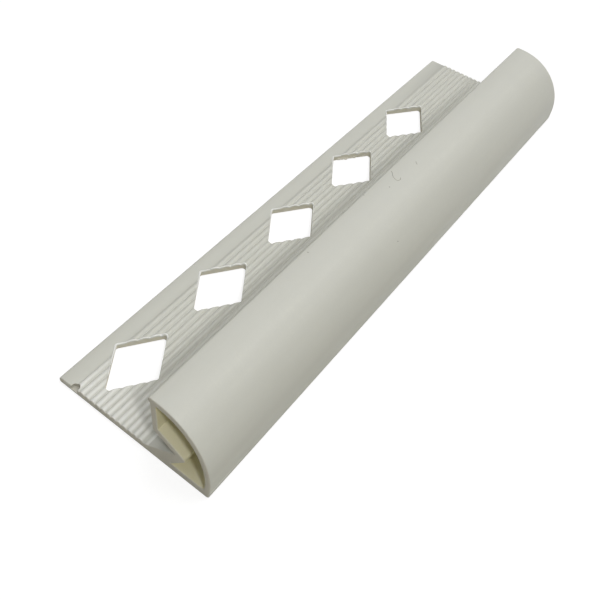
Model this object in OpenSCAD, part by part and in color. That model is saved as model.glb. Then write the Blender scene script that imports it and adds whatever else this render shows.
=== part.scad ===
// Round-edge tile trim: one cut length of hollow plastic extrusion.
// A thin ribbed leg with diamond perforations is bedded under the tile.
// The rounded bead covers the tile's edge, and its inner wall folds into a key pocket.
// Millimetres, +Z up, lying on the flat underside. Origin: middle of the footprint on the floor.
// +X runs along the length, +Y from the free edge of the leg to the face of the bead.

/* [Overall] */
// Length of the cut piece, along the face of the bead
length = 115.8; // [60:0.1:200]
// Full width, from the free edge of the leg to the outer face of the bead
width = 28; // [27:0.5:36]
// Full height, from the underside to the top of the bead
height = 12; // [11:0.25:14]

/* [Bead] */
// Width of the bead, from its nose to its outer face
bead_width = 11.6; // [11.2:0.1:13]
// Radius of the rounded outer face
bead_radius = 10; // [9:0.25:10.5]
// Thickness of the rounded skin
skin = 1; // [0.8:0.05:1.4]
// Thickness of the folded inner wall
wall = 1; // [0.8:0.05:1.1]
// Thickness of the floor under the hollow
floor_thickness = 1.2; // [1.1:0.05:1.4]

/* [Key pocket] */
// How far the upright part of the inner wall leans in under the nose
wall_lean = 0.8; // [0.5:0.1:1.2]
// Height of the fold where the upright turns into the shelf
shelf_height = 6.25; // [6:0.05:6.75]
// Depth of the fold, from the nose to the wall's middle line at the bottom of the V
key_depth = 6.5; // [6:0.1:6.6]
// Height of the bottom of the V above the underside
key_height = 4; // [3.75:0.05:4.25]
// How far the toe of the web reaches out in front of the nose
web_toe = 0.4; // [0:0.1:0.6]
// Width of the web under the V where it stands on the leg
web_foot = 3.3; // [1.5:0.1:3.6]
// Fillet in the corner of the hollow
hollow_fillet = 0.6; // [0.3:0.1:0.9]

/* [Leg] */
// Thickness of the leg between the ribs
leg = 0.95; // [0.8:0.05:1.1]
// Height of the rounded ribs above the bedding side
rib_height = 0.22; // [0.1:0.02:0.3]
// Width of a rib at its foot
rib_width = 0.9; // [0.6:0.05:0.9]
// Distance between neighbouring ribs
rib_pitch = 1.01; // [0.95:0.01:1.3]
// Plain strip from the free edge to the middle of the first rib
rib_first = 3.4; // [3:0.05:6]

/* [Diamond holes] */
// Length of a hole along the piece
hole_length = 13.1; // [9:0.1:15]
// Width of a hole across the leg
hole_width = 8.6; // [6:0.1:9]
// Corner radius of a hole
hole_corner = 0.5; // [0.3:0.05:0.8]
// How far the hole's side corners are out of line, each way along the piece
hole_skew = 0.45; // [0:0.05:1]
// Distance between neighbouring holes
hole_pitch = 20; // [18:0.5:26]
// From the +X end to the middle of the first hole, along the row
hole_first = 9.45; // [8:0.05:12]
// From the free edge of the leg to the middle of the holes
hole_inset = 6.5; // [6.25:0.05:7.5]

/* [Cut ends] */
// How far the +X end is cut off square, in degrees across the leg
near_slant = 3.25; // [0:0.25:6]
// How far the -X end is cut off square, in degrees across the leg
far_slant = 2.5; // [0:0.25:6]
// Radius of the small nick in the +X end of the leg
nick_radius = 0.65; // [0.4:0.05:1]
// How far the nick reaches in from the end
nick_depth = 0.95; // [0.8:0.05:1.6]
// How deep the nick is sunk into the top of the leg
nick_sink = 0.55; // [0.3:0.05:0.7]
// From the free edge of the leg to the middle of the nick
nick_inset = 3; // [2.5:0.05:4]

/* [Hidden] */
$fn = 96;
// Flats in each rounded corner of a hole
arc_steps = 8;
// How far a cutter runs past the faces it opens
past = 1;
// Least stock left between the last hole and the far end
end_stock = 2.5;
// Least gap between the last rib and the toe of the web
rib_gap = 0.1;
// Where the nose of the bead begins, across the section
nose = width - bead_width;
// Middle of the rounded face
arc_at = [width - bead_radius, height - bead_radius];
// Middle line of the folded wall: top, shelf fold, bottom of the V, toe and heel of the web in the leg
fold_top = [nose + skin / 2 + wall / 3, height - skin / 2];
fold_shelf = [fold_top[0] + wall_lean, shelf_height];
fold_key = [nose + key_depth, key_height];
fold_toe = [nose + wall / 2 - web_toe, leg / 2];
fold_heel = fold_toe + [web_foot, 0];
// Where the toe of the web rises from the leg
toe_edge = fold_toe[0] - wall / 4;
// Ribs run from the plain strip up to the toe of the web
rib_count = 1 + floor((toe_edge - rib_gap - rib_width / 2 - rib_first) / rib_pitch);
// Radius of a rib's rounded top
rib_curve = (rib_width * rib_width / 4 + rib_height * rib_height) / (2 * rib_height);
// Length of the leg along the row of holes, between the slanted ends
row_length = length - (width - hole_inset) * (tan(near_slant) + tan(far_slant));
// As many whole holes as that holds
hole_count = 1 + floor((row_length - hole_first - hole_length / 2 - end_stock) / hole_pitch);

// A straight run of wall of thickness t, from a to b, with square ends
module run(a, b, t) {
    d = b - a;
    translate(a)
        rotate(atan2(d[1], d[0]))
            translate([0, -t / 2])
                square([norm(d), t]);
}

// The rounded skin: a short flat with a round nose, a quarter ring, and an upright to the floor
module skin_section() {
    difference() {
        intersection() {
            translate(arc_at)
                circle(r = bead_radius);
            translate(arc_at)
                square([bead_radius + past, bead_radius + past]);
        }
        translate(arc_at)
            circle(r = bead_radius - skin);
    }
    translate([nose + skin / 2, height - skin])
        square([arc_at[0] - nose - skin / 2, skin]);
    translate([nose + skin / 2, height - skin / 2])
        circle(d = skin);
    translate([width - skin, skin / 2])
        square([skin, arc_at[1] - skin / 2]);
    translate([width - skin / 2, skin / 2])
        circle(d = skin);
}

// The inner wall, folded into a V that keys into the bedding
module fold_section() {
    run(fold_top, fold_shelf, wall);
    run(fold_shelf, fold_key, wall);
    run(fold_key, fold_toe, wall);
    run(fold_key, fold_heel, wall);
    polygon([fold_key, fold_toe, fold_heel]);
    translate(fold_shelf)
        circle(d = wall);
    translate(fold_key)
        circle(d = wall);
}

// The leg with its round free edge, its ribs, and the floor under the hollow
module leg_section() {
    translate([leg / 2, 0])
        square([width - skin / 2 - leg / 2, leg]);
    translate([leg / 2, leg / 2])
        circle(d = leg);
    translate([fold_heel[0], 0])
        square([width - skin / 2 - fold_heel[0], floor_thickness]);
    translate([width - skin - hollow_fillet, floor_thickness])
        difference() {
            translate([0, -floor_thickness / 2])
                square([hollow_fillet + skin / 2, hollow_fillet + floor_thickness / 2]);
            translate([0, hollow_fillet])
                circle(r = hollow_fillet);
        }
    for (i = [0 : rib_count - 1])
        translate([rib_first + i * rib_pitch, leg])
            rib_section();
}

// A low rounded rib, rooted in the leg
module rib_section() {
    intersection() {
        translate([0, rib_height - rib_curve])
            circle(r = rib_curve);
        translate([-rib_curve - past, -leg / 2])
            square([2 * (rib_curve + past), leg / 2 + rib_height + past]);
    }
}

// Where the slanted +X end lies, at y across from the free edge
function end_at(y) = length / 2 - (width - y) * tan(near_slant);

// Points of an arc of radius r about c, from angle a to angle b
function arc(c, r, a, b) = [
    for (k = [0 : arc_steps])
        c + r * [cos(a + (b - a) * k / arc_steps), sin(a + (b - a) * k / arc_steps)]
];

// A diamond with its corners rounded to r, over l along X and w along Y, its side corners moved by skew
module diamond(l, w, r, skew) {
    a = l / 2 - r;
    b = w / 2 - r;
    lean = atan2(a, b);
    outline = concat(
        arc([a, 0], r, -lean, lean),
        arc([0, b], r, lean, 180 - lean),
        arc([-a, 0], r, 180 - lean, 180 + lean),
        arc([0, -b], r, 180 + lean, 360 - lean)
    );
    polygon([for (p = outline) [p[0] + skew * 2 * p[1] / w, p[1]]]);
}

// The row of diamond holes and the nick, as cutters through the leg
module leg_cutters() {
    deep = leg + rib_height + 2 * past;
    nick_deep = nick_sink + rib_height + past;
    for (i = [0 : hole_count - 1])
        translate([end_at(hole_inset) - hole_first - i * hole_pitch, hole_inset - width / 2, -past])
            linear_extrude(deep)
                diamond(hole_length, hole_width, hole_corner, hole_skew);
    translate([end_at(nick_inset) - nick_depth + nick_radius, nick_inset - width / 2, leg - nick_sink]) {
        cylinder(r = nick_radius, h = nick_deep);
        translate([0, -nick_radius, 0])
            cube([nick_depth + past, 2 * nick_radius, nick_deep]);
    }
}

// A block that cuts the +X end off at a slant, hinged on the face of the bead
module end_cut(slant) {
    translate([length / 2, width / 2, -past])
        rotate(-slant)
            translate([0, -2 * width, 0])
                cube([width, 2 * width + past, height + 2 * past]);
}

module edge_trim() {
    color([0.89, 0.88, 0.82])
        difference() {
            translate([-length / 2 - past, -width / 2, 0])
                rotate([90, 0, 90])
                    linear_extrude(length + 2 * past) {
                        skin_section();
                        fold_section();
                        leg_section();
                    }
            end_cut(near_slant);
            mirror([1, 0, 0])
                end_cut(far_slant);
            leg_cutters();
        }
}

edge_trim();
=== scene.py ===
"""Round-edge tile trim: one cut length of hollow plastic extrusion, with its finish and a plain studio."""
import math

import bmesh
import bpy
from bpy.props import FloatProperty, FloatVectorProperty, IntProperty, PointerProperty
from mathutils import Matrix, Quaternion, Vector


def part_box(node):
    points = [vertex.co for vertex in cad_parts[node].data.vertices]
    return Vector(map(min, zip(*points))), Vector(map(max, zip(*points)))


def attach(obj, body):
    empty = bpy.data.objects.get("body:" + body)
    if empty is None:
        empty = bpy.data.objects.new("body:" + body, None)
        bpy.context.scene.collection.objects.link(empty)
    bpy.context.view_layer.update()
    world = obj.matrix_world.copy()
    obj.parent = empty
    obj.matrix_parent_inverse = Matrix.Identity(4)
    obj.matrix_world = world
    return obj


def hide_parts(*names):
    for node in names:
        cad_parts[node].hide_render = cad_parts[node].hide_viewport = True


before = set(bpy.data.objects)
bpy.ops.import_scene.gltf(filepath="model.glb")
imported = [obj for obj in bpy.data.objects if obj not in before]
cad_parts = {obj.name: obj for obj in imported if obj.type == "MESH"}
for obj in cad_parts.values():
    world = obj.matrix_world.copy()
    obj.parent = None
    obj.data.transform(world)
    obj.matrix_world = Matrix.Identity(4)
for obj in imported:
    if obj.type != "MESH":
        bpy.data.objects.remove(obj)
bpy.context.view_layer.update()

bl_info = {
    "name": "Tile Edge Trim",
    "version": (1, 0, 0),
    "blender": (4, 5, 0),
    "location": "View3D > Sidebar > Trim",
    "description": "Builds a round-edge tile trim from its drawn section, with a plain studio",
    "category": "Object",
}

LOW, HIGH = (Vector(corner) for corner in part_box("edge_trim"))
MM = 0.001
# Points nearer than this, in metres, are made one
MERGE = 1e-6

# Flats in the arcs of the section
BEAD_STEPS = 56
HOLLOW_STEPS = 40
NOSE_STEPS = 16
CORNER_STEPS = 8
SMALL_STEPS = 6
ROUND_STEPS = 10
# The free edge's round stops short of the point where the outline closes, in degrees
EDGE_END = 260

# Stops along the worn round of a cut end, in degrees of its arc
ROUND_STOPS = (0, 30, 60, 90)

# Punches, in thicknesses of the leg: their depth, and how far below the underside they start
PUNCH_DEEP = 6.0
PUNCH_LOW = 3.0
PUNCH_CORNER_STEPS = 8
NICK_SIDES = 32

# Rolled lips, in radii of the lip: offset from the hole's edge, sink into the leg, radius where thin
LIP_SPREAD = 0.55
LIP_SINK = 0.45
LIP_THIN = 0.24
LIP_STEP = 0.07 * MM
LIP_SIDES = 8
# Where the lip is thick and where it is thin, on a scale across the diamond that is -1 at its burred edge
LIP_THICK_AT = -0.95
LIP_THIN_AT = -0.75
# How high above the underside the lip's rays start, and how far they run
LIP_RAY_RISE = 5 * MM
LIP_RAY_LENGTH = 10 * MM

# Torn edge: the part of the diamond's outline that it covers, and its rise in radii of the lip
TORN_START = 0.53
TORN_END = 0.73
TORN_RISE = 1.05
TORN_STEP = 0.08 * MM

# Dirt: lines and specks in millimetres on the plan, the run of a speck, and its radius in hairlines
HAIRLINES = (
    ((-4.4, 3.1), (-4.0, 3.5), (-3.6, 3.75), (-3.3, 4.1), (-3.05, 4.6), (-3.0, 4.9), (-3.1, 5.15),
     (-3.4, 5.25), (-3.7, 5.3), (-4.1, 5.1)),
    ((-9.8, 4.9), (-9.4, 5.2), (-9.3, 5.5)),
)
SPECKS = ((21.4, 3.3), (4.15, 2.8), (-0.7, 4.9), (6.15, 11.35))
SPECK_RUN = (0.12, 0.05)
SPECK_RADIUS = 2
# How far dirt is sunk in the face, in radii
MARK_SINK = 0.9
MARK_STEP = 0.06 * MM
MARK_SIDES = 16
MARK_RAY_LENGTH = 0.1

# Painted highlight on the rib crests: where it begins and where it is full, from the near end, and how
# much is elsewhere
CREST_HIGHLIGHT_START = 12 * MM
CREST_HIGHLIGHT_FULL = 2 * MM
CREST_HIGHLIGHT_ELSEWHERE = 0.05
# How gently the plain strip of the leg runs into the ribs
STRIP_FADE = 0.2 * MM

# Edges sharper than these stay sharp
BODY_CREASE = math.radians(50)
MARK_CREASE = math.radians(60)

# Sockets of the colour mix node
MIX_FACTOR, MIX_A, MIX_B, MIX_RESULT = 0, 6, 7, 2

# Floor: half its side, its grid, its drop below the part, and the colour and glow that the camera sees
FLOOR_HALF = 3.0
FLOOR_SQUARES = 4
FLOOR_DROP = 0.02 * MM
FLOOR_SEEN = (0.33, 0.33, 0.33)
FLOOR_LIFT = 0.8
WHITE = (1, 1, 1, 1)
# Strength of the sky at the bottom and at the top of its slope, which starts a little below the horizon
SKY_LOW, SKY_HIGH = 0.04, 0.06
SKY_START = -0.2
# Lamps: the point in the near half that they look at, how far off they hang, and the spread of a sun
LAMP_AIM = Vector((0.02, 0, 0))
LAMP_AWAY = 0.5
SOFT_SUN = math.radians(60)
# Camera: where it stands, where it looks, its roll, and its lens and sensor in millimetres
CAMERA_EYE = Vector((113.461, 45.305, 109.931)) * MM
CAMERA_AIM = Vector((25.198, 5.53, 6.0)) * MM
CAMERA_ROLL = math.radians(13.298)
CAMERA_LENS = 56.1135
CAMERA_SENSOR = 36
CAMERA_CLIP = (0.005, 20)


# Sizes and finish

def length(name, description, default):
    """A length of the trim, given in millimetres and kept in metres."""
    return FloatProperty(
        name=name, description=description, default=default * MM, unit="LENGTH", precision=5
    )


def shade(name, description, default):
    """A linear colour of the finish."""
    return FloatVectorProperty(
        name=name, description=description, default=default, subtype="COLOR", min=0, max=1
    )


class TrimSizes(bpy.types.PropertyGroup):
    """Sizes of the trim's section and of what is punched in its leg."""

    length: FloatProperty(
        name="Length", description="Length along the face of the bead", default=HIGH.x - LOW.x,
        unit="LENGTH",
    )
    width: FloatProperty(
        name="Width", description="From the leg's free edge to the face of the bead",
        default=HIGH.y - LOW.y, unit="LENGTH",
    )
    height: FloatProperty(
        name="Height", description="From the underside to the top of the bead",
        default=HIGH.z - LOW.z, unit="LENGTH",
    )
    bead_width: length("Bead Width", "From the bead's nose to its outer face", 11.6)
    bead_radius: length("Bead Radius", "Radius of the rounded outer face", 10)
    skin: length("Skin", "Thickness of the rounded skin", 1)
    wall: length("Wall", "Thickness of the folded inner wall", 1)
    floor: length("Floor", "Thickness under the hollow", 1.2)
    lean: length("Lean", "How far the upright of the inner wall leans in", 0.8)
    shelf_height: length("Shelf Height", "Height of the fold at the shelf", 6.25)
    key_depth: length("Key Depth", "From the nose to the bottom of the V", 6.5)
    key_height: length("Key Height", "Height of the bottom of the V", 4)
    web_toe: length("Web Toe", "How far the toe of the web reaches out in front of the nose", 0.4)
    web_foot: length("Web Foot", "Width of the web on the leg", 3.3)
    fillet: length("Fillet", "Fillet in the corner of the hollow", 0.6)
    leg: length("Leg", "Thickness of the leg between the ribs", 0.95)
    rib_height: length("Rib Height", "Height of the rounded ribs above the leg", 0.22)
    rib_width: length("Rib Width", "Width of a rib at its foot", 0.9)
    rib_pitch: length("Rib Pitch", "Distance between neighbouring ribs", 1.01)
    rib_first: length("First Rib", "From the free edge to the first rib", 3.4)
    rib_count: IntProperty(name="Ribs", description="Number of ribs", default=13, min=1)
    hole_length: length("Hole Length", "Length of a diamond along the piece", 13.1)
    hole_width: length("Hole Width", "Width of a diamond across the leg", 8.6)
    hole_corner: length("Hole Corner", "Corner radius of a diamond", 0.5)
    hole_skew: length("Hole Skew", "How far a diamond's side corners are out of line, each way", 0.45)
    hole_pitch: length("Hole Pitch", "Distance between neighbouring diamonds", 20)
    hole_first: length("First Hole", "From the near end to the first diamond, along the row", 9.45)
    hole_inset: length("Hole Inset", "From the free edge to the row of diamonds", 6.5)
    hole_count: IntProperty(name="Holes", description="Number of diamonds", default=5, min=1)
    burr: length("Burr", "Radius of the rolled lip round a punched diamond", 0.19)
    torn_hole: IntProperty(
        name="Torn Hole", description="Diamond with a torn lower edge, counted from the near end",
        default=4, min=1,
    )
    nick_radius: length("Nick Radius", "Radius of the nick in the near end", 0.65)
    nick_depth: length("Nick Depth", "How far the nick reaches in from the end", 0.95)
    nick_sink: length("Nick Sink", "How deep the nick is sunk into the leg", 0.55)
    nick_inset: length("Nick Inset", "From the free edge to the nick", 3)
    near_slant: FloatProperty(
        name="Near Slant", description="How far the near end is cut off square",
        default=math.radians(3.25), subtype="ANGLE",
    )
    far_slant: FloatProperty(
        name="Far Slant", description="How far the far end is cut off square",
        default=math.radians(2.5), subtype="ANGLE",
    )
    hairline: length("Hairline", "Radius of a line of dirt, mostly sunk in the face", 0.095)
    end_round: length("End Round", "Worn round on the edges of the cut ends", 0.18)


class TrimFinish(bpy.types.PropertyGroup):
    """Colours of the plastic, of its marks and of the floor."""

    pvc: shade("Plastic", "Extruded face of the plastic", (0.66, 0.66, 0.59))
    sawn: shade("Sawn", "Sawn ends", (0.69, 0.665, 0.585))
    cut: shade("Cut", "Punched walls of the diamonds", (0.88, 0.85, 0.74))
    nick: shade("Nick", "Scuffed faces of the nick", (0.56, 0.54, 0.465))
    # Lip colour: stress whitening of a punched lip and a painted highlight on its thick edge; the crests'
    # painted highlight uses it too
    lip: shade("Lip", "Whitened lip of a punched diamond", (0.88, 0.88, 0.83))
    # Inside: a brighter, yellower copy of the plastic, painted light standing in for light through the
    # skin and its bounce in the hollow
    inside: shade("Inside", "Yellower plastic inside the hollow", (0.83, 0.79, 0.565))
    dirt: shade("Dirt", "Hairlines and specks on the bead", (0.16, 0.15, 0.11))
    floor: shade("Floor", "Studio floor", (0.42, 0.405, 0.315))


# Node helpers, for geometry and for shading

def put(tree, kind, feeds=None, **settings):
    """Adds a node, sets its settings, then feeds its inputs with values or other sockets."""
    node = tree.nodes.new(kind)
    for key, value in settings.items():
        setattr(node, key, value)
    for key, value in (feeds or {}).items():
        for feed in value if isinstance(value, list) else [value]:
            if isinstance(feed, bpy.types.NodeSocket):
                tree.links.new(feed, node.inputs[key])
            else:
                node.inputs[key].default_value = feed
    return node


def sums(tree, operation, *terms):
    """The result of a math node."""
    return put(tree, "ShaderNodeMath", dict(enumerate(terms)), operation=operation).outputs[0]


def vectors(tree, operation, *terms):
    """The result of a vector math node."""
    return put(tree, "ShaderNodeVectorMath", dict(enumerate(terms)), operation=operation).outputs[0]


def scaled(tree, way, amount):
    """A vector times a number."""
    return put(tree, "ShaderNodeVectorMath", {0: way, "Scale": amount}, operation="SCALE").outputs[0]


def vector(tree, x=0.0, y=0.0, z=0.0):
    """A vector made of three numbers or sockets."""
    return put(tree, "ShaderNodeCombineXYZ", {0: x, 1: y, 2: z}).outputs[0]


def parts(tree, value):
    """The x, y and z of a vector."""
    return put(tree, "ShaderNodeSeparateXYZ", {0: value}).outputs


def span(tree, value, low, high, to_low=0.0, to_high=1.0):
    """Maps a value from one range to another, held at the ends."""
    return put(tree, "ShaderNodeMapRange", {
        "Value": value, "From Min": low, "From Max": high, "To Min": to_low, "To Max": to_high
    }).outputs[0]


def noise(tree, at, scale, detail=3.0, stretch=None):
    """Noise on the given coordinates, stretched where asked."""
    if stretch:
        at = put(tree, "ShaderNodeMapping", {"Vector": at, "Scale": stretch}).outputs[0]
    return put(tree, "ShaderNodeTexNoise", {"Vector": at, "Scale": scale, "Detail": detail}).outputs[0]


# Geometry helpers

def new_tree(name, inputs):
    """A geometry tree with named inputs, its input sockets and their identifiers."""
    tree = bpy.data.node_groups.new(name, "GeometryNodeTree")
    tree.interface.new_socket("Geometry", in_out="OUTPUT", socket_type="NodeSocketGeometry")
    keys = {}
    for label, kind in inputs.items():
        socket = tree.interface.new_socket(label, in_out="INPUT", socket_type="NodeSocket" + kind)
        keys[label] = socket.identifier
    return tree, tree.nodes.new("NodeGroupInput").outputs, keys


def close_tree(tree, geometry, material):
    """Ends a tree in Realize Instances and Set Material."""
    real = put(tree, "GeometryNodeRealizeInstances", {"Geometry": geometry}).outputs[0]
    done = put(tree, "GeometryNodeSetMaterial", {"Geometry": real, "Material": material})
    put(tree, "NodeGroupOutput", {0: done.outputs[0]})


def grow(name, tree, keys, values):
    """Runs a tree on an empty mesh and keeps the result as a plain mesh."""
    piece = bpy.data.objects.new(name, bpy.data.meshes.new(name))
    bpy.context.scene.collection.objects.link(piece)
    modifier = piece.modifiers.new(name, "NODES")
    modifier.node_group = tree
    for label, value in values.items():
        modifier[keys[label]] = value
    graph = bpy.context.evaluated_depsgraph_get()
    mesh = bpy.data.meshes.new_from_object(piece.evaluated_get(graph), depsgraph=graph)
    piece.modifiers.clear()
    piece.data = mesh
    mesh.name = name
    if not mesh.polygons:
        raise RuntimeError(name + " came out empty")
    return piece


def drawn(name, loops, cyclic):
    """A poly curve through the given lists of points."""
    data = bpy.data.curves.new(name, "CURVE")
    data.dimensions = "3D"
    for loop in loops:
        spline = data.splines.new("POLY")
        spline.points.add(len(loop) - 1)
        for point, at in zip(spline.points, loop):
            point.co = (*at, 1)
        spline.use_cyclic_u = cyclic
    curve = bpy.data.objects.new(name, data)
    bpy.context.scene.collection.objects.link(curve)
    return curve


def discard(*objects):
    """Removes drawing aids."""
    for item in objects:
        data = item.data
        bpy.data.objects.remove(item)
        bpy.data.curves.remove(data)


def shape_of(tree, item):
    """The shape of an object that is fed to a tree."""
    return put(tree, "GeometryNodeObjectInfo", {"Object": item}).outputs["Geometry"]


def position(tree):
    """Where each point lies."""
    return tree.nodes.new("GeometryNodeInputPosition").outputs[0]


def moved(tree, geometry, offset):
    """Geometry with its points shifted, each by its own offset."""
    return put(tree, "GeometryNodeSetPosition", {"Geometry": geometry, "Offset": offset}).outputs[0]


def placed(tree, geometry, at):
    """Geometry shifted as a whole."""
    return put(tree, "GeometryNodeTransform", {"Geometry": geometry, "Translation": at}).outputs[0]


def joined(tree, *items):
    """Several geometries as one."""
    return put(tree, "GeometryNodeJoinGeometry", {0: list(items)}).outputs[0]


def merged(tree, geometry, distance):
    """Geometry with its doubled points made one."""
    return put(tree, "GeometryNodeMergeByDistance", {
        "Geometry": geometry, "Distance": distance
    }).outputs[0]


def tag(tree, geometry, name, value=1.0, domain="FACE"):
    """Marks faces or points for the material, or a later node, to read."""
    return put(tree, "GeometryNodeStoreNamedAttribute", {
        "Geometry": geometry, "Name": name, "Value": value
    }, domain=domain).outputs[0]


def fine(tree, curve, step):
    """A curve cut into even steps."""
    return put(tree, "GeometryNodeResampleCurve", {
        "Curve": curve, "Length": step
    }, mode="LENGTH").outputs[0]


def rods(tree, curve, radius, sides, scale=1.0, caps=False):
    """Round rods that follow a curve."""
    bar = put(tree, "GeometryNodeCurvePrimitiveCircle", {"Resolution": sides, "Radius": radius})
    return put(tree, "GeometryNodeCurveToMesh", {
        "Curve": curve, "Profile Curve": bar.outputs[0], "Scale": scale, "Fill Caps": caps
    }).outputs[0]


# Section of the extrusion, across (y from the free edge, z up)

def arc(centre, radius, start, end, steps):
    """Points of an arc, with its angles in degrees."""
    turns = [math.radians(start + (end - start) * i / steps) for i in range(steps + 1)]
    return [centre + radius * Vector((math.cos(t), math.sin(t))) for t in turns]


def bearing(v):
    """Direction of a vector in degrees."""
    return math.degrees(math.atan2(v.y, v.x))


def left_of(a, b):
    """Unit vector to the left of the way from a to b."""
    d = (b - a).normalized()
    return Vector((-d.y, d.x))


def meet(p, d, q, e):
    """Where the line through p along d meets the line through q along e."""
    t = (q - p).cross(e) / d.cross(e)
    return p + d * t


def section(s):
    """Outer outline and hollow of the section, each with the plastic on its left."""
    w, h, half = s.width, s.height, s.wall / 2
    nose = w - s.bead_width
    middle = Vector((w - s.bead_radius, h - s.bead_radius))
    nose_at = Vector((nose + s.skin / 2, h - s.skin / 2))
    top = nose_at + Vector((s.wall / 3, 0))
    shelf = Vector((top.x + s.lean, s.shelf_height))
    key = Vector((nose + s.key_depth, s.key_height))
    toe = Vector((nose + half - s.web_toe, s.leg / 2))
    heel = toe + Vector((s.web_foot, 0))
    up_side, shelf_side = left_of(top, shelf), left_of(shelf, key)
    ramp_side, web_side = left_of(key, toe), left_of(key, heel)
    across = Vector((1, 0))

    # The upright's face leaves the round nose where the two cross
    face, down = top - up_side * half, (shelf - top).normalized()
    gap = face - nose_at
    reach = gap.dot(down)
    t = -reach + math.sqrt(reach ** 2 - gap.length_squared + (s.skin / 2) ** 2)
    under_nose = bearing(face + down * t - nose_at) % 360

    outer = [Vector((s.leg / 2, 0))]
    outer += arc(Vector((w - s.skin / 2, s.skin / 2)), s.skin / 2, -90, 0, CORNER_STEPS)
    outer += arc(middle, s.bead_radius, 0, 90, BEAD_STEPS)
    outer += arc(nose_at, s.skin / 2, 90, under_nose, NOSE_STEPS)
    outer += arc(shelf, half, bearing(-up_side) % 360, bearing(-shelf_side) % 360, SMALL_STEPS)
    outer += [meet(shelf - shelf_side * half, key - shelf, key - ramp_side * half, toe - key)]
    outer += [meet(key - ramp_side * half, toe - key, Vector((0, s.leg)), across)]
    curve = (s.rib_width ** 2 / 4 + s.rib_height ** 2) / (2 * s.rib_height)
    lean = math.degrees(math.asin(s.rib_width / 2 / curve))
    for i in reversed(range(s.rib_count)):
        root = Vector((s.rib_first + i * s.rib_pitch, s.leg + s.rib_height - curve))
        outer += arc(root, curve, 90 - lean, 90 + lean, ROUND_STEPS)
    outer += arc(Vector((s.leg / 2, s.leg / 2)), s.leg / 2, 90, EDGE_END, ROUND_STEPS)

    floor, roof = Vector((0, s.floor)), Vector((0, h - s.skin))
    hollow = [meet(key + web_side * half, heel - key, floor, across)]
    corner = Vector((w - s.skin - s.fillet, s.floor + s.fillet))
    hollow += arc(corner, s.fillet, -90, 0, SMALL_STEPS)
    hollow += arc(middle, s.bead_radius - s.skin, 0, 90, HOLLOW_STEPS)
    hollow += [meet(top + up_side * half, shelf - top, roof, across)]
    hollow += [meet(top + up_side * half, shelf - top, shelf + shelf_side * half, key - shelf)]
    hollow += arc(key, half, bearing(shelf_side), bearing(web_side), ROUND_STEPS)
    return outer, hollow[::-1]


def sharp_diamond(s):
    """Half length, half width and skew of the diamond before its corners are rounded."""
    a, b = s.hole_length / 2 - s.hole_corner, s.hole_width / 2 - s.hole_corner
    k = 1 + s.hole_corner * math.hypot(1 / a, 1 / b)
    return a * k, b * k, s.hole_skew * b * k / (s.hole_width / 2)


def near_end(s, y):
    """Where the slanted near end lies, at y across from the free edge."""
    return s.length / 2 - (s.width - y) * math.tan(s.near_slant)


# Trees of the body

def diamond_curve(tree, size, spread=0.0):
    """A skewed diamond with rounded corners, its tips moved out by the spread."""
    long, wide = (sums(tree, "ADD", size[key], spread) for key in ("Hole Long", "Hole Wide"))
    skew = size["Hole Skew"]
    kite = put(tree, "GeometryNodeCurvePrimitiveQuadrilateral", {
        "Point 1": vector(tree, long),
        "Point 2": vector(tree, skew, wide),
        "Point 3": vector(tree, sums(tree, "MULTIPLY", long, -1.0)),
        "Point 4": vector(tree, sums(tree, "MULTIPLY", skew, -1.0), sums(tree, "MULTIPLY", wide, -1.0)),
    }, mode="POINTS")
    return put(tree, "GeometryNodeFilletCurve", {
        "Curve": kite.outputs[0], "Count": PUNCH_CORNER_STEPS, "Radius": size["Hole Corner"]
    }, mode="POLY").outputs[0]


def solid(tree, face, deep):
    """A face pulled up into a closed prism."""
    pulled = put(tree, "GeometryNodeExtrudeMesh", {
        "Mesh": face, "Offset": vector(tree, z=deep), "Offset Scale": 1.0, "Individual": False
    }).outputs[0]
    base = put(tree, "GeometryNodeFlipFaces", {"Mesh": face}).outputs[0]
    return merged(tree, joined(tree, pulled, base), MERGE)


def slanted(tree, size, geometry):
    """Leans the two ends, hinged on the face of the bead."""
    place = parts(tree, position(tree))
    near_half = sums(tree, "GREATER_THAN", place[2], 0.0)
    near_slope, far_slope = (sums(tree, "TANGENT", size[key]) for key in ("Near Slant", "Far Slant"))
    both = sums(tree, "MULTIPLY", sums(tree, "ADD", near_slope, far_slope), near_half)
    slope = sums(tree, "SUBTRACT", far_slope, both)
    from_face = sums(tree, "SUBTRACT", sums(tree, "MULTIPLY", size["Width"], 0.5), place[0])
    return moved(tree, geometry, vector(tree, z=sums(tree, "MULTIPLY", from_face, slope)))


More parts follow.
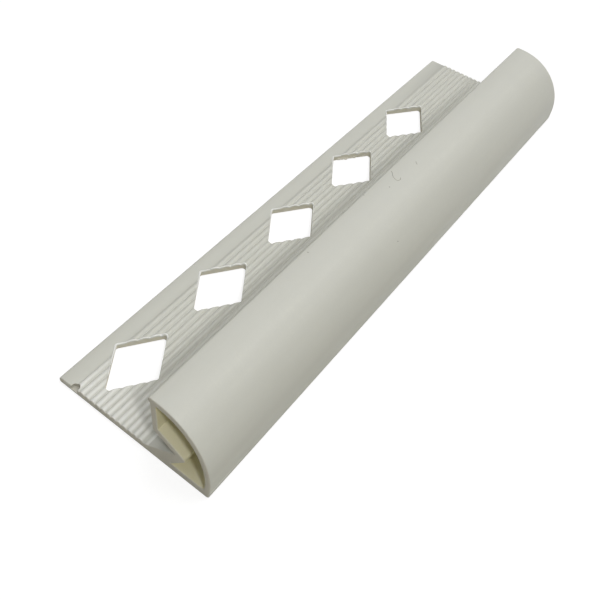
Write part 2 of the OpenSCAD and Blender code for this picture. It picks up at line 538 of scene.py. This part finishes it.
def sweep_section(tree, size):
    """The drawn section run along the rail, its ends capped, worn round at their edges and slanted."""
    loop = tree.nodes.new("GeometryNodeCurveOfPoint").outputs["Curve Index"]
    marked = tag(tree, shape_of(tree, size["Section"]), "hollow", loop, "POINT")
    tangent = tree.nodes.new("GeometryNodeInputTangent").outputs[0]
    keep = tree.nodes.new("GeometryNodeCaptureAttribute")
    keep.capture_items.new("VECTOR", "Outward")
    tree.links.new(marked, keep.inputs[0])
    tree.links.new(vectors(tree, "CROSS_PRODUCT", tangent, (0, 0, 1)), keep.inputs[1])
    profile, outward = keep.outputs[0], keep.outputs[1]

    def inset(geometry, amount):
        """Pulls the outline in."""
        return moved(tree, geometry, scaled(tree, outward, sums(tree, "MULTIPLY", amount, -1.0)))

    tube = put(tree, "GeometryNodeCurveToMesh", {
        "Curve": shape_of(tree, size["Rail"]), "Profile Curve": profile
    }).outputs[0]
    worn = size["End Round"]
    half = sums(tree, "MULTIPLY", size["Length"], 0.5)
    from_middle = sums(tree, "ABSOLUTE", parts(tree, position(tree))[2])
    past = sums(tree, "SUBTRACT", from_middle, sums(tree, "SUBTRACT", half, worn))
    past = sums(tree, "MAXIMUM", past, 0.0)
    rise = sums(tree, "SUBTRACT", sums(tree, "MULTIPLY", worn, worn), sums(tree, "MULTIPLY", past, past))
    pull = sums(tree, "SUBTRACT", worn, sums(tree, "SQRT", sums(tree, "MAXIMUM", rise, 0.0)))
    tube = inset(tag(tree, tube, "sawn", sums(tree, "DIVIDE", past, worn), "POINT"), pull)
    cap = put(tree, "GeometryNodeFillCurve", {"Curve": inset(profile, worn)}).outputs[0]
    cap = tag(tree, cap, "sawn", domain="POINT")
    back = put(tree, "GeometryNodeFlipFaces", {"Mesh": cap}).outputs[0]
    near = placed(tree, cap, vector(tree, z=half))
    far = placed(tree, back, vector(tree, z=sums(tree, "MULTIPLY", half, -1.0)))
    whole = merged(tree, joined(tree, tube, near, far), 2 * MERGE)
    return put(tree, "GeometryNodeTransform", {
        "Geometry": slanted(tree, size, whole), "Rotation": (math.pi / 2, 0, math.pi / 2)
    }).outputs[0]


def hole_row(tree, size, item, where=True):
    """Copies of an item, one at each diamond or only where asked."""
    row = put(tree, "GeometryNodeMeshLine", {
        "Count": size["Holes"],
        "Start Location": vector(tree, size["First Hole"], size["Hole Line"]),
        "Offset": vector(tree, sums(tree, "MULTIPLY", size["Hole Pitch"], -1.0)),
    })
    copies = put(tree, "GeometryNodeInstanceOnPoints", {
        "Points": row.outputs[0], "Instance": item, "Selection": where
    })
    return put(tree, "GeometryNodeRealizeInstances", {"Geometry": copies.outputs[0]}).outputs[0]


def rolled_lips(tree, size, body):
    """A thin rolled lip round each diamond, thick on one edge, which rides up and down over the ribs."""
    long, wide, burr = size["Hole Long"], size["Hole Wide"], size["Burr"]
    ring = diamond_curve(tree, size, sums(tree, "MULTIPLY", burr, LIP_SPREAD))
    place = parts(tree, position(tree))
    side = sums(tree, "ADD", sums(tree, "MULTIPLY", place[0], wide),
                sums(tree, "MULTIPLY", place[1], long))
    side = sums(tree, "DIVIDE", side, sums(tree, "MULTIPLY", long, wide))
    ring = tag(tree, ring, "burred", span(tree, side, LIP_THICK_AT, LIP_THIN_AT, 1.0, LIP_THIN), "POINT")
    rings = fine(tree, hole_row(tree, size, ring), LIP_STEP)
    here = position(tree)
    drop = put(tree, "GeometryNodeRaycast", {
        "Target Geometry": body, "Source Position": vectors(tree, "ADD", here, (0, 0, LIP_RAY_RISE)),
        "Ray Direction": (0, 0, -1), "Ray Length": LIP_RAY_LENGTH,
    })
    rings = put(tree, "GeometryNodeSetPosition", {
        "Geometry": rings, "Position": drop.outputs["Hit Position"],
        "Offset": vector(tree, z=sums(tree, "MULTIPLY", burr, -LIP_SINK)),
    }).outputs[0]
    uneven = span(tree, noise(tree, here, scale=420.0, detail=2.0), 0.3, 0.7, to_low=0.65, to_high=1.2)
    burred = put(tree, "GeometryNodeInputNamedAttribute", {"Name": "burred"}).outputs["Attribute"]
    lips = rods(tree, rings, burr, LIP_SIDES, sums(tree, "MULTIPLY", uneven, burred))
    return tag(tree, lips, "lip")


def torn_edge(tree, size):
    """Torn plastic along the lower edge of the far wall of one diamond."""
    edge = put(tree, "GeometryNodeTrimCurve", {
        "Curve": diamond_curve(tree, size), "Start": TORN_START, "End": TORN_END
    }, mode="FACTOR").outputs[0]
    index = tree.nodes.new("GeometryNodeInputIndex").outputs[0]
    torn_one = sums(tree, "COMPARE", index, sums(tree, "SUBTRACT", size["Torn Hole"], 1.0), 0.5)
    edge = fine(tree, hole_row(tree, size, edge, torn_one), TORN_STEP)
    ragged = noise(tree, position(tree), scale=1300.0, detail=3.0)
    reach = span(tree, ragged, 0.45, 0.75, to_low=-0.85, to_high=1.5)
    inward = vectors(tree, "NORMALIZE", vector(tree, size["Hole Wide"], size["Hole Long"]))
    inward = scaled(tree, inward, sums(tree, "MULTIPLY", size["Burr"], reach))
    rise = vector(tree, z=sums(tree, "MULTIPLY", size["Burr"], TORN_RISE))
    edge = moved(tree, edge, vectors(tree, "ADD", inward, rise))
    return tag(tree, rods(tree, edge, size["Burr"], LIP_SIDES, caps=True), "cut")


def trim_tree():
    """The whole trim: swept section, punched diamonds with their lips and a torn edge, and the nick."""
    tree, size, keys = new_tree("Edge Trim", {
        "Section": "Object", "Rail": "Object", "Material": "Material", "Length": "Float",
        "Width": "Float", "Near Slant": "Float", "Far Slant": "Float", "End Round": "Float",
        "Leg": "Float", "Holes": "Int", "First Hole": "Float", "Hole Line": "Float",
        "Hole Pitch": "Float", "Hole Long": "Float", "Hole Wide": "Float", "Hole Skew": "Float",
        "Hole Corner": "Float", "Burr": "Float", "Torn Hole": "Int", "Nick X": "Float", "Nick Y": "Float",
        "Nick Z": "Float", "Nick Radius": "Float",
    })
    body = sweep_section(tree, size)
    deep = sums(tree, "MULTIPLY", size["Leg"], PUNCH_DEEP)
    low = sums(tree, "MULTIPLY", size["Leg"], -PUNCH_LOW)
    face = put(tree, "GeometryNodeFillCurve", {"Curve": diamond_curve(tree, size)}).outputs[0]
    punches = hole_row(tree, size, tag(tree, solid(tree, face, deep), "cut"))
    punches = placed(tree, punches, vector(tree, z=low))
    radius = size["Nick Radius"]
    high = sums(tree, "ADD", size["Nick Z"], sums(tree, "MULTIPLY", deep, 0.5))
    pin = put(tree, "GeometryNodeMeshCylinder", {"Vertices": NICK_SIDES, "Radius": radius, "Depth": deep})
    pin_at = vector(tree, size["Nick X"], size["Nick Y"], high)
    pin = placed(tree, tag(tree, pin.outputs[0], "nick"), pin_at)
    wide = sums(tree, "MULTIPLY", radius, 2.0)
    slot = put(tree, "GeometryNodeMeshCube", {"Size": vector(tree, wide, wide, deep)})
    slot_at = vector(tree, sums(tree, "ADD", size["Nick X"], radius), size["Nick Y"], high)
    slot = placed(tree, tag(tree, slot.outputs[0], "nick"), slot_at)
    open_leg = put(tree, "GeometryNodeMeshBoolean", {
        "Mesh 1": body, "Mesh 2": [punches, pin, slot]
    }, operation="DIFFERENCE", solver="EXACT").outputs[0]
    whole = joined(tree, open_leg, rolled_lips(tree, size, body), torn_edge(tree, size))
    close_tree(tree, whole, size["Material"])
    return tree, keys


# Finish

def material(name):
    """A new node material, its tree and its main shader."""
    made = bpy.data.materials.new(name)
    made.use_nodes = True
    return made, made.node_tree, made.node_tree.nodes["Principled BSDF"]


def on_object(tree):
    """Coordinates that stay with the object."""
    return tree.nodes.new("ShaderNodeTexCoord").outputs["Object"]


def dim(colour, share):
    """A colour times a share, held at white."""
    return [min(1, c * share) for c in colour]


def blend_colour(tree, factor, a, b):
    """A mix of two colours."""
    node = put(tree, "ShaderNodeMix", data_type="RGBA", blend_type="MIX")
    for index, feed in ((MIX_FACTOR, factor), (MIX_A, a), (MIX_B, b)):
        if isinstance(feed, bpy.types.NodeSocket):
            tree.links.new(feed, node.inputs[index])
        else:
            node.inputs[index].default_value = (*feed, 1)
    return node.outputs[MIX_RESULT]


def veil(tree, tint, field, colour, low=0.3, high=0.7, least=0.0, most=1.0):
    """A tint with a colour laid over it, from least to most as a field goes from low to high."""
    return blend_colour(tree, span(tree, field, low, high, least, most), tint, colour)


def flag(tree, name):
    """A mark of the mesh."""
    return put(tree, "ShaderNodeAttribute", attribute_name=name).outputs["Fac"]


def relief(tree, shader, height, strength, depth):
    """Fine unevenness of a face."""
    bump = put(tree, "ShaderNodeBump", {"Height": height, "Strength": strength, "Distance": depth})
    tree.links.new(bump.outputs[0], shader.inputs["Normal"])


def grooves(tree, at, s):
    """Masks on the ribbed leg: painted shade in the grooves, and a painted highlight on the crests, most
    of all near the end.
    """
    x, y, z = parts(tree, at)
    first = s.rib_first - s.width / 2 - s.rib_pitch / 2
    past_strip = span(tree, y, first - STRIP_FADE, first)
    on_leg = span(tree, z, s.leg + 1.5 * s.rib_height, s.leg + 2 * s.rib_height, 1.0, 0.0)
    ribbed = sums(tree, "MULTIPLY", past_strip, on_leg)
    crest = span(tree, z, s.leg, s.leg + s.rib_height)
    end = s.length / 2
    near = span(tree, x, end - CREST_HIGHLIGHT_START, end - CREST_HIGHLIGHT_FULL, to_low=CREST_HIGHLIGHT_ELSEWHERE)
    # Painted shade, darkest in the valleys between the crests
    groove_shade = sums(tree, "MULTIPLY", ribbed, sums(tree, "SUBTRACT", 1.0, crest))
    # Painted highlight on the crests, strongest near the cut end
    crest_highlight = sums(tree, "MULTIPLY", sums(tree, "MULTIPLY", ribbed, crest), near)
    return groove_shade, crest_highlight


def dark_dots(tree, at):
    """A mask of a few tiny dark dots."""
    dots = put(tree, "ShaderNodeTexVoronoi", {"Vector": at, "Scale": 190.0}).outputs
    pick = put(tree, "ShaderNodeSeparateColor", {0: dots["Color"]}).outputs[0]
    inside = span(tree, dots["Distance"], 0.012, 0.035, to_low=0.55, to_high=0.0)
    return sums(tree, "MULTIPLY", inside, span(tree, pick, 0.8, 0.82))


def plastic(finish, sizes):
    """Off-white extruded plastic with faint clouds, lines along its length and duller worked faces, with
    painted shade in the rib grooves, painted highlights on the crests and, with whitening, on the lips,
    and painted light in the hollow.
    """
    made, tree, shader = material("ivory_pvc")
    at = on_object(tree)
    clouds = noise(tree, at, scale=110.0, detail=4.0)
    lines = noise(tree, at, scale=60.0, stretch=(0.05, 14.0, 14.0))
    grain = noise(tree, at, scale=2600.0, detail=2.0)
    mottle = noise(tree, at, scale=800.0, detail=2.0)
    streaks = noise(tree, at, scale=60.0, detail=2.0, stretch=(0.03, 5.0, 5.0))
    chatter = noise(tree, at, scale=500.0, stretch=(1.0, 1.0, 0.25))
    # pale is the lip colour, used for whitening and for painted highlights
    face, pale = tuple(finish.pvc), tuple(finish.lip)

    tint = veil(tree, dim(face, 0.97), clouds, dim(face, 1.025), low=0.35, high=0.65)
    tint = veil(tree, tint, lines, dim(face, 0.96), most=0.5)
    tint = veil(tree, tint, grain, dim(face, 0.8), high=0.75, least=0.12, most=0.0)
    tint = veil(tree, tint, mottle, dim(face, 0.94), most=0.3)
    tint = blend_colour(tree, dark_dots(tree, at), tint, dim(face, 0.45))
    tint = veil(tree, tint, streaks, dim(face, 0.93), low=0.35, high=0.65, most=0.8)
    groove_shade, crest_highlight = grooves(tree, at, sizes)
    # Painted shade: the grooves between the ribs are darkened
    tint = veil(tree, tint, groove_shade, dim(face, 0.88), low=0.0, high=1.0, most=0.85)
    # Painted highlight: the rib crests are made pale, most of all near the cut end
    tint = veil(tree, tint, crest_highlight, pale, low=0.0, high=1.0, most=0.8)
    # Painted light: the hollow's faces take the brighter, yellower inside colour
    tint = blend_colour(tree, flag(tree, "hollow"), tint, tuple(finish.inside))
    lip = flag(tree, "lip")
    # Stress whitening with a painted highlight on the lips, strongest on the thick edge
    lip_whitening_and_highlight = sums(tree, "MULTIPLY", lip, span(tree, flag(tree, "burred"), 0.3, 0.9, to_low=0.3))
    tint = blend_colour(tree, lip_whitening_and_highlight, tint, pale)
    worked = 0.0
    for name in ("cut", "sawn", "nick"):
        colour = tuple(getattr(finish, name))
        mark = flag(tree, name)
        tint = blend_colour(tree, mark, tint, veil(tree, dim(colour, 0.92), chatter, colour))
        worked = sums(tree, "MAXIMUM", worked, mark)
    tree.links.new(tint, shader.inputs["Base Color"])

    rough = span(tree, clouds, 0.3, 0.7, to_low=0.4, to_high=0.5)
    rough = sums(tree, "ADD", rough, sums(tree, "MULTIPLY", worked, 0.2))
    rough = sums(tree, "SUBTRACT", rough, sums(tree, "MULTIPLY", lip, 0.12))
    tree.links.new(rough, shader.inputs["Roughness"])
    height = sums(tree, "ADD", sums(tree, "MULTIPLY", lines, 0.6), sums(tree, "MULTIPLY", grain, 0.25))
    saw_marks = sums(tree, "MULTIPLY", sums(tree, "MULTIPLY", chatter, worked), 2.0)
    relief(tree, shader, sums(tree, "ADD", height, saw_marks), strength=0.35, depth=0.02 * MM)
    shader.inputs["IOR"].default_value = 1.46
    shader.inputs["Subsurface Weight"].default_value = 0.08
    shader.inputs["Subsurface Radius"].default_value = (1.0, 0.9, 0.65)
    shader.inputs["Subsurface Scale"].default_value = 0.6 * MM
    return made


def grime(finish):
    """Dull dark dirt of a hairline or a speck."""
    made, tree, shader = material("hairline_dirt")
    patch = noise(tree, on_object(tree), scale=900.0)
    dark = tuple(finish.dirt)
    tint = veil(tree, dark, patch, dim(dark, 2.2), low=0.35, high=0.65)
    tree.links.new(tint, shader.inputs["Base Color"])
    tree.links.new(span(tree, patch, 0.3, 0.7, to_low=0.6, to_high=0.85), shader.inputs["Roughness"])
    relief(tree, shader, patch, strength=0.3, depth=0.01 * MM)
    return made


# Pieces

def settle(piece, crease):
    """Merges doubles, turns faces outwards and shades smooth up to the crease angle."""
    work = bmesh.new()
    work.from_mesh(piece.data)
    bmesh.ops.remove_doubles(work, verts=work.verts, dist=MERGE)
    bmesh.ops.dissolve_degenerate(work, edges=work.edges, dist=MERGE / 2)
    bmesh.ops.recalc_face_normals(work, faces=work.faces)
    for edge in work.edges:
        edge.smooth = edge.is_manifold and edge.calc_face_angle(math.pi) < crease
    for face in work.faces:
        face.smooth = True
    work.to_mesh(piece.data)
    work.free()


class TRIM_OT_body(bpy.types.Operator):
    """Sweeps the section, punches the leg and gives it its plastic"""

    bl_idname = "trim.body"
    bl_label = "Trim Body"

    def execute(self, context):
        s = context.scene.trim_sizes
        outer, hollow = section(s)
        across = s.width / 2
        loops = [[(p.x - across, p.y, 0) for p in loop] for loop in (outer, hollow)]
        profile = drawn("section_line", loops, True)
        ends = [s.length / 2 - s.end_round * (1 - math.sin(math.radians(a))) for a in ROUND_STOPS]
        stops = [-x for x in reversed(ends)] + ends
        rail = drawn("length_line", [[(0, 0, x) for x in stops]], False)
        tree, keys = trim_tree()
        long, wide, skew = sharp_diamond(s)
        body = grow("trim_body", tree, keys, {
            "Section": profile, "Rail": rail, "Material": plastic(context.scene.trim_finish, s),
            "Length": s.length, "Width": s.width, "Near Slant": s.near_slant,
            "Far Slant": s.far_slant, "End Round": s.end_round, "Leg": s.leg, "Holes": s.hole_count,
            "First Hole": near_end(s, s.hole_inset) - s.hole_first, "Hole Line": s.hole_inset - across,
            "Hole Pitch": s.hole_pitch, "Hole Long": long, "Hole Wide": wide, "Hole Skew": skew,
            "Hole Corner": s.hole_corner, "Burr": s.burr, "Torn Hole": s.torn_hole,
            "Nick X": near_end(s, s.nick_inset) - s.nick_depth + s.nick_radius,
            "Nick Y": s.nick_inset - across, "Nick Z": s.leg - s.nick_sink,
            "Nick Radius": s.nick_radius,
        })
        discard(profile, rail)
        settle(body, BODY_CREASE)
        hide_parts("edge_trim")
        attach(body, "root")
        return {"FINISHED"}


def marks_tree():
    """Dirt lines dropped on the body and made into thin rods that barely stand out of its face."""
    tree, size, keys = new_tree("Marks", {
        "Lines": "Object", "Body": "Object", "Material": "Material", "Thick": "Float"
    })
    lines = fine(tree, shape_of(tree, size["Lines"]), MARK_STEP)
    drop = put(tree, "GeometryNodeRaycast", {
        "Target Geometry": shape_of(tree, size["Body"]), "Ray Direction": (0, 0, -1),
        "Ray Length": MARK_RAY_LENGTH,
    })
    swell = tree.nodes.new("GeometryNodeInputRadius").outputs[0]
    deep = sums(tree, "MULTIPLY", sums(tree, "MULTIPLY", size["Thick"], swell), -MARK_SINK)
    laid = put(tree, "GeometryNodeSetPosition", {
        "Geometry": lines, "Position": drop.outputs["Hit Position"],
        "Offset": scaled(tree, drop.outputs["Hit Normal"], deep),
    }).outputs[0]
    close_tree(tree, rods(tree, laid, size["Thick"], MARK_SIDES, swell, caps=True), size["Material"])
    return tree, keys


class TRIM_OT_marks(bpy.types.Operator):
    """Lays the hairlines and specks of dirt on the trim"""

    bl_idname = "trim.marks"
    bl_label = "Marks"

    def execute(self, context):
        s = context.scene.trim_sizes
        over = 2 * s.height
        run_x, run_y = SPECK_RUN
        plan = list(HAIRLINES) + [((x, y), (x + run_x, y + run_y)) for x, y in SPECKS]
        loops = [[(x * MM, y * MM, over) for x, y in line] for line in plan]
        lines = drawn("mark_lines", loops, False)
        for spline in lines.data.splines[len(HAIRLINES):]:
            for point in spline.points:
                point.radius = SPECK_RADIUS
        tree, keys = marks_tree()
        marks = grow("trim_marks", tree, keys, {
            "Lines": lines, "Body": bpy.data.objects["trim_body"],
            "Material": grime(context.scene.trim_finish), "Thick": s.hairline,
        })
        discard(lines)
        settle(marks, MARK_CREASE)
        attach(marks, "root")
        return {"FINISHED"}


# Studio

def camera_ray(tree):
    """1 where the camera sees the surface, directly, in gloss or through glass."""
    path = tree.nodes.new("ShaderNodeLightPath").outputs
    seen = sums(tree, "MAXIMUM", path["Is Camera Ray"], path["Is Glossy Ray"])
    return sums(tree, "MAXIMUM", seen, path["Is Transmission Ray"])


def lay_floor(scene):
    """A pale floor that bounces a warm light and is seen near white."""
    made, tree, shader = material("studio_floor")
    tree.nodes.remove(shader)
    pale = tuple(scene.trim_finish.floor)
    seen = camera_ray(tree)
    tint = blend_colour(tree, noise(tree, on_object(tree), scale=30.0), pale, dim(pale, 0.99))
    tint = blend_colour(tree, seen, tint, FLOOR_SEEN)
    matt = put(tree, "ShaderNodeBsdfDiffuse", {"Color": tint})
    lift = put(tree, "ShaderNodeEmission", {
        "Color": WHITE, "Strength": sums(tree, "MULTIPLY", seen, FLOOR_LIFT)
    })
    both = put(tree, "ShaderNodeAddShader", {0: matt.outputs[0], 1: lift.outputs[0]})
    tree.links.new(both.outputs[0], tree.nodes["Material Output"].inputs["Surface"])
    work = bmesh.new()
    squares = FLOOR_SQUARES
    bmesh.ops.create_grid(work, x_segments=squares, y_segments=squares, size=FLOOR_HALF)
    mesh = bpy.data.meshes.new("studio_floor")
    work.to_mesh(mesh)
    work.free()
    mesh.materials.append(made)
    floor = bpy.data.objects.new("studio_floor", mesh)
    floor.location.z = -FLOOR_DROP
    scene.collection.objects.link(floor)


def raise_sky(scene):
    """A dim dome, a little brighter overhead, that is seen white."""
    world = bpy.data.worlds.new("studio_sky")
    world.use_nodes = True
    scene.world = world
    tree = world.node_tree
    glow = tree.nodes["Background"]
    up = parts(tree, tree.nodes.new("ShaderNodeTexCoord").outputs["Generated"])[2]
    dome = span(tree, up, SKY_START, 1.0, SKY_LOW, SKY_HIGH)
    seen = camera_ray(tree)
    unseen = sums(tree, "SUBTRACT", 1.0, seen)
    level = sums(tree, "ADD", sums(tree, "MULTIPLY", dome, unseen), seen)
    tree.links.new(level, glow.inputs["Strength"])
    glow.inputs["Color"].default_value = WHITE


def hang(scene, name, kind, tilt, turn, energy):
    """A lamp that looks at the trim's near half, tilted from overhead and turned from +X, in degrees."""
    tilt, turn = math.radians(tilt), math.radians(turn)
    way = Vector((math.sin(tilt) * math.cos(turn), math.sin(tilt) * math.sin(turn), math.cos(tilt)))
    lamp = bpy.data.lights.new(name, kind)
    lamp.energy = energy
    hung = bpy.data.objects.new(name, lamp)
    hung.location = LAMP_AIM + way * LAMP_AWAY
    hung.rotation_mode = "QUATERNION"
    hung.rotation_quaternion = way.to_track_quat("Z", "Y")
    scene.collection.objects.link(hung)
    return lamp


def disk(scene, name, tilt, turn, energy, size):
    """A round lamp."""
    lamp = hang(scene, name, "AREA", tilt, turn, energy)
    lamp.shape = "DISK"
    lamp.size = size


def soft_sun(scene, name, tilt, turn, energy):
    """A broad, soft sun."""
    hang(scene, name, "SUN", tilt, turn, energy).angle = SOFT_SUN


def set_camera(scene):
    """The camera at the photograph's viewing angle."""
    lens = bpy.data.cameras.new("camera")
    lens.sensor_width = CAMERA_SENSOR
    lens.lens = CAMERA_LENS
    lens.clip_start, lens.clip_end = CAMERA_CLIP
    camera = bpy.data.objects.new("camera", lens)
    camera.location = CAMERA_EYE
    camera.rotation_mode = "QUATERNION"
    look = (CAMERA_EYE - CAMERA_AIM).to_track_quat("Z", "Y")
    camera.rotation_quaternion = look @ Quaternion((0, 0, 1), CAMERA_ROLL)
    scene.collection.objects.link(camera)
    scene.camera = camera


class TRIM_OT_stage(bpy.types.Operator):
    """Lays the floor and sets the light and the camera"""

    bl_idname = "trim.stage"
    bl_label = "Studio"

    def execute(self, context):
        scene = context.scene
        lay_floor(scene)
        raise_sky(scene)
        disk(scene, "key_lamp", tilt=40, turn=49, energy=0.6, size=0.06)
        disk(scene, "front_lamp", tilt=65, turn=10, energy=0.1, size=0.27)
        soft_sun(scene, "fill_lamp", tilt=35, turn=170, energy=1.42)
        soft_sun(scene, "top_lamp", tilt=0, turn=0, energy=0.54)
        set_camera(scene)
        scene.view_settings.view_transform = "Standard"
        return {"FINISHED"}


# Panel and registration

class TRIM_PT_panel(bpy.types.Panel):
    """Sizes, finish and steps of the trim"""

    bl_idname = "TRIM_PT_panel"
    bl_label = "Tile Edge Trim"
    bl_space_type = "VIEW_3D"
    bl_region_type = "UI"
    bl_category = "Trim"

    def draw(self, context):
        for group in (context.scene.trim_sizes, context.scene.trim_finish):
            box = self.layout.box()
            for key in group.__annotations__:
                box.prop(group, key)
        for step in STEPS:
            self.layout.operator(step.bl_idname)


STEPS = (TRIM_OT_body, TRIM_OT_marks, TRIM_OT_stage)
CLASSES = (TrimSizes, TrimFinish, *STEPS, TRIM_PT_panel)


def register():
    """Adds the classes and the scene's sizes and finish."""
    for item in CLASSES:
        bpy.utils.register_class(item)
    bpy.types.Scene.trim_sizes = PointerProperty(type=TrimSizes)
    bpy.types.Scene.trim_finish = PointerProperty(type=TrimFinish)


def unregister():
    """Takes away what register added."""
    del bpy.types.Scene.trim_finish
    del bpy.types.Scene.trim_sizes
    for item in reversed(CLASSES):
        bpy.utils.unregister_class(item)


def main():
    """Builds the trim and its studio."""
    register()
    bpy.ops.trim.body()
    bpy.ops.trim.marks()
    bpy.ops.trim.stage()


if __name__ == "__main__":
    main()
